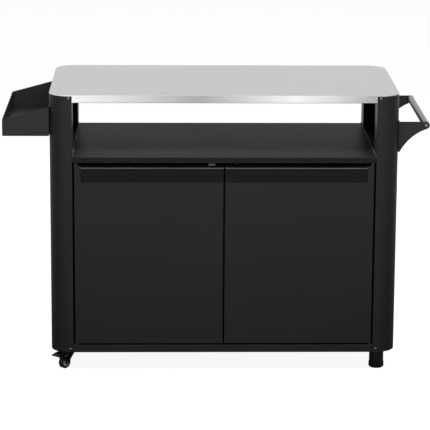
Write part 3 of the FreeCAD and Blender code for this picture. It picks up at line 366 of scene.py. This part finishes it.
def powderCoat(name, lift=1, specular=coat["specular"]):
    material, look = newMaterial(name)
    cloud = look.noise(coat["clouds"], 3)
    peel = look.noise(coat["peel"], 2)
    grit = look.noise(coat["grit"], 1)
    tone = cloud * coat["cloudShare"] + peel * coat["peelShare"]
    bumps = peel * coat["peelHeight"] + grit * coat["gritHeight"]
    look.surface({
        "Base Color": look.blend(tone, *coatTones(lift)),
        "Roughness": cloud * coat["cloudRough"] + grit * coat["gritRough"] + coat["smoothest"],
        "Specular IOR Level": specular,
        "Normal": look.bump(bumps, coat["depth"], coat["strength"]),
    })
    return material


pull = {
    "lift": 0.7,  # painted shade: the strip's tone against the rest of the coat, darker because the strip faces down
    "smoothest": 0.38,
    "peelRough": 0.12,
    # painted highlight: a light line along the strip's top edge
    "hem": (0.075, 0.075, 0.076),
    "hemFrom": 0.6695,  # metres above the floor
    "hemFull": 0.6701,
}


def pullCoat(name):
    material, look = newMaterial(name)
    peel = look.noise(coat["peel"], 2)
    hem = look.rise(look.along("Z", look.place()), pull["hemFrom"], pull["hemFull"])
    look.surface({
        # the strip's coat takes painted shade, and its top edge a painted highlight
        "Base Color": look.blend(hem, look.blend(peel, *coatTones(pull["lift"])), pull["hem"]),
        "Roughness": peel * pull["peelRough"] + pull["smoothest"],
        "Specular IOR Level": coat["specular"],
        "Normal": look.bump(peel, coat["depth"], coat["strength"]),
    })
    return material


shelfEdge = {  # painted highlight along the upper edges of the shelf's sides, lighter towards the back, with a little random tone
    "front": (0.1, 0.1, 0.101),
    "back": (0.62, 0.62, 0.625),
    "from": -0.23,  # metres behind the middle of the cart
    "to": 0.05,
    "wear": 60,  # marks per metre
    "depthShare": 0.9,  # of the tone
    "wearShare": 0.1,
    "smoothest": 0.39,
    "wearRough": 0.1,
}


def edgeHighlightCoat(name):
    material, look = newMaterial(name)
    wear = look.noise(shelfEdge["wear"], 2)
    depth = look.rise(look.along("Y", look.place()), shelfEdge["from"], shelfEdge["to"])
    tone = depth * shelfEdge["depthShare"] + wear * shelfEdge["wearShare"]
    look.surface({
        "Base Color": look.blend(tone, shelfEdge["front"], shelfEdge["back"]),
        "Roughness": wear * shelfEdge["wearRough"] + shelfEdge["smoothest"],
        "Specular IOR Level": coat["specular"],
    })
    return material


# plated sheet and metal, plastic and rubber

zinc = {
    "dark": (0.36, 0.37, 0.38),
    "light": (0.52, 0.53, 0.54),
    "flakes": 90,  # per metre
    "haze": 14,
    "flakeShare": 0.6,  # of the tone
    "hazeShare": 0.4,
    "metallic": 0.9,
    "smoothest": 0.32,
    "flakeRough": 0.15,
    "hazeRough": 0.1,
}


def zincSheet(name):
    material, look = newMaterial(name)
    cells = {"Vector": look.place([zinc["flakes"]] * 3), "Scale": 1}
    flakes = look.node("ShaderNodeTexVoronoi", {}, cells, "Color")
    grey = look.node("ShaderNodeRGBToBW", {}, {0: flakes})
    haze = look.noise(zinc["haze"], 3)
    tone = grey * zinc["flakeShare"] + haze * zinc["hazeShare"]
    look.surface({
        "Base Color": look.blend(tone, zinc["dark"], zinc["light"]),
        "Metallic": zinc["metallic"],
        "Roughness": grey * zinc["flakeRough"] + haze * zinc["hazeRough"] + zinc["smoothest"],
    })
    return material


plating = {
    "wear": 300,  # marks per metre
    "wearRough": 0.18,
    "smoothest": 0.2,
}


def brightMetal(name, dark, light):
    material, look = newMaterial(name)
    wear = look.noise(plating["wear"], 3)
    look.surface({
        "Base Color": look.blend(wear, (dark,) * 3, (light,) * 3),
        "Metallic": 1,
        "Roughness": wear * plating["wearRough"] + plating["smoothest"],
    })
    return material


plastic = {
    "clouds": 40,  # per metre
    "pores": 2200,
    "cloudShare": 0.5,  # of the tone
    "poreShare": 0.5,
    "poreRough": 0.12,
    "specular": 0.35,
    "depth": 0.00005,  # metres
    "strength": 0.5,
}


def moulded(name, dark, light, smoothest, pores=plastic["pores"]):
    material, look = newMaterial(name)
    cloud = look.noise(plastic["clouds"], 2)
    grain = look.noise(pores, 2)
    tone = cloud * plastic["cloudShare"] + grain * plastic["poreShare"]
    look.surface({
        "Base Color": look.blend(tone, (dark,) * 3, (light,) * 3),
        "Roughness": grain * plastic["poreRough"] + smoothest,
        "Specular IOR Level": plastic["specular"],
        "Normal": look.bump(grain, plastic["depth"], plastic["strength"]),
    })
    return material


# building pieces

bodyOf = {}
for body, members in frame["record"]["behaviour"]["bodies"].items():
    bodyOf.update(dict.fromkeys(members, body))

rounding = {
    "width": 0.0004,  # metres that a sharp edge is rounded
    "share": 0.4,  # the most of a narrow face that one rounded edge takes
    "segments": 3,
    "aligned": 0.8,  # cosine between neighbours that follow one line
    "sharp": 32,  # degrees from which an edge is sharp
}
# the cut-edge faces found here carry a painted highlight
cutEdge = {  # which faces of a sheet are its cut edge
    "width": 0.0026,  # metres, or less
    "length": 0.04,  # or more
    "across": 0.99,  # it doesn't run from left to right
    "before": 0.1,  # and isn't behind this
}
near = {
    "points": 1e-6,  # metres within which points are one
    "flat": 0.05,  # degrees within which faces are one
    "radii": 0.01,  # share by which equal radii may differ
}


def wayOf(edge):
    return (edge.verts[1].co - edge.verts[0].co).normalized()


def markRoundings(bm):
    weight = bm.edges.layers.float.new("bevel_weight_edge")
    chains = []
    for edge in bm.edges:
        if edge.smooth or not edge.is_convex or len(edge.link_faces) != 2:
            continue
        start, way = edge.verts[0].co, wayOf(edge)
        others = [other for vert in edge.verts for other in vert.link_edges if other != edge]
        inLine = [other for other in others if abs(wayOf(other).dot(way)) > rounding["aligned"]]
        room = [max((vert.co - start).cross(way).length for vert in face.verts)
                for face in edge.link_faces]
        room += [other.calc_length() for other in others if other not in inLine]
        edge[weight] = min(1, min(room) * rounding["share"] / rounding["width"])
        chains += [(edge, other) for other in inLine]
    # edges that follow one line are rounded alike
    chains = [pair for pair in chains if pair[1][weight] > 0]
    while any(one[weight] > other[weight] for one, other in chains):
        for one, other in chains:
            one[weight] = min(one[weight], other[weight])


def isCutEdge(face):
    sides = sorted(face.edges, key=lambda edge: -edge.calc_length())[:2]
    length = sides[0].calc_length()
    return (length > cutEdge["length"] and face.calc_area() / length < cutEdge["width"]
            and abs(wayOf(sides[0]).x) < cutEdge["across"]
            and face.calc_center_median().y < cutEdge["before"]
            and all(edge.is_convex and not edge.smooth for edge in sides))


def finishPiece(bm, name, material, node, rounded=False, sharp=rounding["sharp"],
                body=None, rim=None):
    for face in bm.faces:
        face.smooth = True
    for edge in bm.edges:
        edge.smooth = (len(edge.link_faces) == 2
                       and edge.calc_face_angle(0) < math.radians(sharp))
    if rounded:
        markRoundings(bm)
    # cut-edge faces take the second material, a painted highlight
    if rim:
        for face in bm.faces:
            face.material_index = int(isCutEdge(face))
    mesh = bpy.data.meshes.new(name)
    bm.to_mesh(mesh)
    bm.free()
    for look in (material, rim) if rim else (material,):
        mesh.materials.append(look)
    piece = addObject(name, mesh)
    if rounded:
        bevel = piece.modifiers.new("edges", "BEVEL")
        bevel.width = rounding["width"]
        bevel.segments = rounding["segments"]
        bevel.limit_method = "WEIGHT"
        bevel.use_clamp_overlap = False
        bevel.loop_slide = False
        flats = piece.modifiers.new("flats", "WEIGHTED_NORMAL")
        flats.keep_sharp = True
    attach(piece, body or bodyOf[node])
    if node:
        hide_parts(node)


def mergedCopy(node):
    bm = bmesh.new()
    bm.from_mesh(nodes[node].data)
    bmesh.ops.remove_doubles(bm, verts=bm.verts, dist=near["points"])
    bmesh.ops.dissolve_limit(bm, angle_limit=math.radians(near["flat"]),
                             verts=bm.verts, edges=bm.edges)
    return bm


# sheets, plates and other pieces that keep the node's own shape

pullCorner = {
    "radius": 0.008,
    "segments": 5,
    "fromBottom": 0.003,  # metres within which an edge belongs to the corner
    "fromSide": 0.001,
}


def roundCorner(bm, outward):
    low = min(vert.co.z for vert in bm.verts) + pullCorner["fromBottom"]
    side = max(vert.co.x * outward for vert in bm.verts) - pullCorner["fromSide"]
    corner = [edge for edge in bm.edges
              if all(vert.co.z < low and vert.co.x * outward > side for vert in edge.verts)]
    bmesh.ops.bevel(bm, geom=corner, offset=pullCorner["radius"], segments=pullCorner["segments"],
                    profile=0.5, affect="EDGES", material=-1)


def makeSheet(node, material, rim):
    bm = mergedCopy(node)
    if node.endswith("pull"):
        roundCorner(bm, -1 if node.startswith("left") else 1)
    finishPiece(bm, node + "_look", material, node, rounded=True, rim=rim)


# turned pieces: each solid of a node is measured along its axis and turned again

def lathe(profile, steps):
    bm = bmesh.new()
    corners = [bm.verts.new((radius, 0, height)) for radius, height in profile]
    lines = [bm.edges.new(pair) for pair in zip(corners, corners[1:])]
    bmesh.ops.spin(bm, geom=corners + lines, cent=(0, 0, 0), axis=(0, 0, 1), dvec=(0, 0, 0),
                   angle=2 * math.pi, steps=steps, use_merge=True, use_duplicate=False)
    bmesh.ops.remove_doubles(bm, verts=bm.verts, dist=near["points"])
    bmesh.ops.recalc_face_normals(bm, faces=bm.faces)
    return bm


def addTurned(bm, part, spot, way):
    part.transform(Matrix.Translation(spot) @ way.to_track_quat("Z", "Y").to_matrix().to_4x4())
    mesh = bpy.data.meshes.new("part")
    part.to_mesh(mesh)
    part.free()
    bm.from_mesh(mesh)
    bpy.data.meshes.remove(mesh)


def solidsOf(node):
    bm = mergedCopy(node)
    known = set()
    solids = []
    for first in bm.verts:
        if first in known:
            continue
        known.add(first)
        grown = [first]
        for vert in grown:
            for edge in vert.link_edges:
                other = edge.other_vert(vert)
                if other not in known:
                    known.add(other)
                    grown.append(other)
        solids.append([vert.co.copy() for vert in grown])
    bm.free()
    return solids


# the axis' foot, the lowest and highest point along it, and each point's height and radius
def alongAxis(points, way):
    heights = [point.dot(way) for point in points]
    middle = sum(points, Vector()) / len(points)
    base = middle - way * middle.dot(way)
    radii = [(point - way * height - base).length for point, height in zip(points, heights)]
    return base, min(heights), max(heights), list(zip(heights, radii))


def slimHeights(rings):
    shank = min(radius for _, radius in rings)
    return shank, [height for height, radius in rings if radius < shank * (1 + near["radii"])]


screw = {
    "socket": 0.46,  # share of the head's radius
    "socketDepth": 0.6,  # share of its height
    "dome": ((0.66, 1), (0.87, 0.8), (1, 0.42), (1, 0)),  # shares of the head's radius and height
    "steps": 24,
    "sharp": 30,
}


# the world axis across which the points spread alike
def screwAxis(points):
    spans = [max(point[i] for point in points) - min(point[i] for point in points)
             for i in range(3)]
    uneven = [abs(spans[i - 2] - spans[i - 1]) for i in range(3)]
    way = Vector()
    way[uneven.index(min(uneven))] = 1
    return way


def measureScrew(points):
    way = screwAxis(points)
    base, low, high, rings = alongAxis(points, way)
    head = max(radius for _, radius in rings)
    headHeights = [height for height, radius in rings if radius > head * (1 - near["radii"])]
    if high - max(headHeights) > min(headHeights) - low:  # the head is at the low end
        way = -way
        low, high = -high, -low
        headHeights = [-height for height in headHeights]
        rings = [(-height, radius) for height, radius in rings]
    seat = min(headHeights)
    shank = max(radius for height, radius in rings if height < seat - near["points"])
    return base + way * seat, way, head, high - seat, shank, seat - low


def screwPart(head, height, shank, reach):
    socket = head * screw["socket"]
    floor = height * (1 - screw["socketDepth"])
    dome = [(head * radius, height * rise) for radius, rise in screw["dome"]]
    part = lathe([(0, floor), (socket, floor), (socket, height), *dome,
                  (shank, 0), (shank, -reach), (0, -reach)], screw["steps"])
    # the round socket becomes a hexagon
    for vert in part.verts:
        onWall = abs(vert.co.xy.length - socket) < socket * near["radii"]
        if onWall and vert.co.z > floor - near["points"]:
            turn = math.atan2(vert.co.y, vert.co.x) % (math.pi / 3)
            vert.co.xy *= math.cos(math.pi / 6) / math.cos(turn - math.pi / 6)
    return part


def makeScrews(node, material):
    bm = bmesh.new()
    for points in solidsOf(node):
        spot, way, head, height, shank, reach = measureScrew(points)
        addTurned(bm, screwPart(head, height, shank, reach), spot, way)
    finishPiece(bm, node + "_look", material, node, sharp=screw["sharp"])


pin = {
    "dome": ((0.55, 0.1), (0.9, 0.4), (1, 0.75), (1, 1)),  # shares of the head's radius and height
    "steps": 24,
    "sharp": 40,
}


def makePins(node, material, way):
    bm = bmesh.new()
    for points in solidsOf(node):
        base, low, high, rings = alongAxis(points, way)
        head = max(radius for _, radius in rings)
        shank, heights = slimHeights(rings)
        thick = min(heights) - low
        dome = [(0, 0), *((head * radius, thick * rise) for radius, rise in pin["dome"]),
                (shank, thick)]
        profile = [(radius, low + height) for radius, height in dome]
        profile += [(radius, high - height) for radius, height in reversed(dome)]
        addTurned(bm, lathe(profile, pin["steps"]), base, way)
    finishPiece(bm, node + "_look", material, node, sharp=pin["sharp"])


# rivets beside the pedal's pin, one on each leg of the fork

rivet = {
    "radius": 0.0022,
    "height": 0.0012,
    "dome": ((0, 1), (0.5, 0.93), (0.85, 0.6), (1, 0)),  # shares of the radius and the height
    "neck": 0.6,  # share of the radius
    "sunk": 0.0005,
    "beside": (0.0056, 0.0058, 0.003),  # from the pedal's pin
    "steps": 24,
    "sharp": 40,
}


def makeRivets(end, material, way):
    bm = bmesh.new()
    base, _, _, rings = alongAxis(solidsOf(end + "_pedal_pin")[0], way)
    legs = slimHeights(rings)[1]
    beside = Vector(rivet["beside"])
    beside -= way * beside.dot(way)
    neck = rivet["radius"] * rivet["neck"]
    dome = [(rivet["radius"] * radius, rivet["height"] * rise) for radius, rise in rivet["dome"]]
    for reach, side in ((max(legs), way), (min(legs), -way)):
        part = lathe([*dome, (neck, 0), (neck, -rivet["sunk"]), (0, -rivet["sunk"])], rivet["steps"])
        addTurned(bm, part, base + beside + way * reach, side)
    finishPiece(bm, end + "_fork_rivets", material, None, sharp=rivet["sharp"],
                body=end + "_swivel")


# wheel covers: a dished light ring round a raised boss

hubCap = {
    "dish": 0.45,  # share of the thickness that the dish is deep
    "bossDrop": 0.3,  # share of that depth that the boss stays below the rim
    "boss": 0.34,  # this and the next three are shares of the radius
    "dishFrom": 0.4,
    "dishTo": 0.76,
    "rim": 0.9,
    "edge": ((0.97, 0.9), (1, 0.7), (1, 0)),  # shares of the radius and the thickness
    "steps": 40,
    "sharp": 35,
}


def makeHubCaps(node, material, way):
    bm = bmesh.new()
    centre = sum((Vector(corner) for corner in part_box(node)), Vector()) / 2
    for points in solidsOf(node):
        base, low, high, rings = alongAxis(points, way)
        bore, radius = [pick(size for _, size in rings) for pick in (min, max)]
        thick = high - low
        dish = thick - thick * hubCap["dish"]
        boss = thick - thick * hubCap["dish"] * hubCap["bossDrop"]
        part = lathe([
            (bore, 0), (bore, boss), (radius * hubCap["boss"], boss),
            (radius * hubCap["dishFrom"], dish), (radius * hubCap["dishTo"], dish),
            (radius * hubCap["rim"], thick),
            *((radius * share, thick * rise) for share, rise in hubCap["edge"]), (bore, 0),
        ], hubCap["steps"])
        faces = way if (low + high) / 2 > centre.dot(way) else -way
        seat = low if faces == way else -high
        addTurned(bm, part, base + faces * seat, faces)
    finishPiece(bm, node + "_look", material, node, sharp=hubCap["sharp"])


# a foam bead that closes the joint between the back panel and the sheets round it

seal = {
    "depth": 0.0013,
    "inset": 0.0002,  # from the panel's own edge
    "sheet": 0.001,  # the panel's thickness
    "before": 0.0008,  # from its inner face
    "roundness": 2,
}


def makeSeal(material):
    low, high = [Vector(corner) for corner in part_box("back_panel")]
    left, right = low.x + seal["inset"], high.x - seal["inset"]
    bottom, top = low.z + seal["inset"], high.z - seal["inset"]
    curve = bpy.data.curves.new("back_seal", "CURVE")
    curve.dimensions = "3D"
    curve.bevel_depth = seal["depth"]
    curve.bevel_resolution = seal["roundness"]
    line = curve.splines.new("POLY")
    corners = [(left, bottom), (right, bottom), (right, top), (left, top)]
    line.points.add(len(corners) - 1)
    for point, (x, z) in zip(line.points, corners):
        point.co = (x, high.y - seal["sheet"] - seal["before"], z, 1)
    line.use_cyclic_u = True
    curve.materials.append(material)
    bead = addObject("back_seal", curve)
    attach(bead, bodyOf["back_panel"])


bpy.context.scene.view_settings.view_transform = "Standard"
makeCamera()
makeLamps()
makeWorld()
makeFloor()
print("camera, lamps and floor made")

finishes = {  # the record's slot: how its material is made, its name and its values
    "brushed_top": (brushedTop, "brushedTop"),
    "black_coat": (powderCoat, "blackCoat"),
    "zinc_sheet": (zincSheet, "zincSheet"),
    "bright_screw": (brightMetal, "brightScrew", 0.24, 0.36),
    "caster_black": (powderCoat, "casterBlack", 0.8),
    "black_plastic": (moulded, "blackPlastic", 0.006, 0.013, 0.44),
    "grey_plastic": (moulded, "greyPlastic", 0.1, 0.14, 0.36),
    "tyre_rubber": (moulded, "tyreRubber", 0.011, 0.02, 0.54, 1400),
}
ownFinishes = {  # nodes that differ from the rest of their slot
    ("handle_bar",): (brushedBar, "brushedBar"),
    # painted shade: the shelf under the worktop takes a darker copy of the coat
    ("shelf",): (powderCoat, "shelfCoat", 0.85, 0.03),
    ("front_axle", "rear_axle"): (brightMetal, "darkAxle", 0.03, 0.06),
    # painted light: the foot posts take a lighter copy of the coat against the shade under the cart
    ("front_foot_post", "rear_foot_post"): (powderCoat, "footCoat", 1.5, 0.3),
    ("front_hub_caps", "rear_hub_caps"): (moulded, "paleCover", 0.9, 0.97, 0.24),
    ("left_strike",): (brightMetal, "greyStrike", 0.09, 0.15),
    ("tray", "front_handle_bracket", "rear_handle_bracket"): (powderCoat, "sideCoat", 1, 0.24),
    ("right_strike", "right_catch"): (powderCoat, "darkStrike", 0.8),
    ("left_pull", "right_pull"): (pullCoat, "pullCoat"),
}
# painted highlight: the cut edges of these sheets take a far lighter coat
cutEdgeHighlights = {
    ("left_cheek", "right_cheek", "tray"): (powderCoat, "coatEdge", 9),
    ("shelf",): (edgeHighlightCoat, "shelfEdge"),
}


def makeLooks(table):
    looks = {}
    for members, (make, name, *values) in table.items():
        looks.update(dict.fromkeys(members, make(name, *values)))
    return looks


slotLooks = {slot: make(name, *values) for slot, (make, name, *values) in finishes.items()}
nodeLooks = makeLooks(ownFinishes)
rimHighlights = makeLooks(cutEdgeHighlights)
print("materials made")

wheelSpin = next(joint for joint in frame["joints"] if joint["name"] == "front_wheel_spin")
casterAxis = Vector(wheelSpin["axis"]).normalized()  # both casters are turned alike at rest
for entry in frame["record"]["subparts"]:
    node, slot = entry["node"], entry["material_slot"]
    material = nodeLooks.get(node, slotLooks[slot])
    if node.endswith("screws"):
        makeScrews(node, material)
    elif node.endswith(("axle", "pedal_pin")):
        makePins(node, material, casterAxis)
    elif node.endswith("hub_caps"):
        makeHubCaps(node, material, casterAxis)
    else:
        makeSheet(node, material, rimHighlights.get(node))
for end in ("front", "rear"):
    makeRivets(end, slotLooks["bright_screw"], casterAxis)
makeSeal(slotLooks["tyre_rubber"])
print("pieces made")
